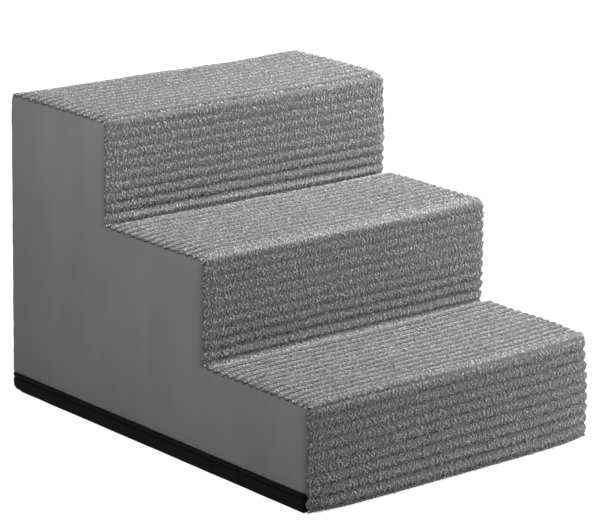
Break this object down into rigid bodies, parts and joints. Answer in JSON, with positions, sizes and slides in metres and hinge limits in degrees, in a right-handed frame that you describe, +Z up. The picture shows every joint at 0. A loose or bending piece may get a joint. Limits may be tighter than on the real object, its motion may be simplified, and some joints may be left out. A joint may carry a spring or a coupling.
{
  "type": "pet stairs",
  "caption": "Free-standing foam pet stairs in a removable ribbed plush cover with plain sides, a non-slip base cloth and a zipper round the foot.",
  "frame": {"origin": "middle of the footprint, on the floor", "axes": "+X to the right across the treads, +Y from the lowest riser to the high back, +Z up"},
  "size_m": [0.35, 0.45, 0.3],
  "materials": {
    "ribbed_plush": "matte",
    "plain_panel": "matte",
    "base_cloth": "matte",
    "foam": "matte",
    "zipper_tape": "matte",
    "zipper_teeth": "satin",
    "zipper_metal": "satin"
  },
  "bodies": {
    "stairs": {"step_cover_lower": "ribbed_plush", "step_cover_middle": "ribbed_plush", "step_cover_upper": "ribbed_plush", "side_panel_left": "plain_panel", "side_panel_right": "plain_panel", "back_panel": "plain_panel", "base_panel": "base_cloth", "foam_lower": "foam", "foam_middle": "foam", "foam_upper": "foam", "zipper_tape_lower": "zipper_tape", "zipper_tape_upper": "zipper_tape", "zipper_coil_lower": "zipper_teeth", "zipper_coil_upper": "zipper_teeth", "zipper_top_stops": "zipper_teeth", "zipper_bottom_stop": "zipper_teeth"},
    "slider": {"zipper_slider": "zipper_metal"},
    "pull": {"zipper_pull": "zipper_metal"}
  },
  "joints": [
    {"name": "zipper_travel", "type": "slide", "parent": "stairs", "child": "slider", "axis": [0, 1, 0], "range_m": [0, 0.38], "deforming": ["zipper_coil_lower", "zipper_coil_upper"]},
    {"name": "pull_swing", "type": "hinge", "parent": "slider", "child": "pull", "pos_m": [0.17285, -0.2025, 0.0105], "axis": [0, 0, -1], "range_deg": [0, 160]}
  ]
}
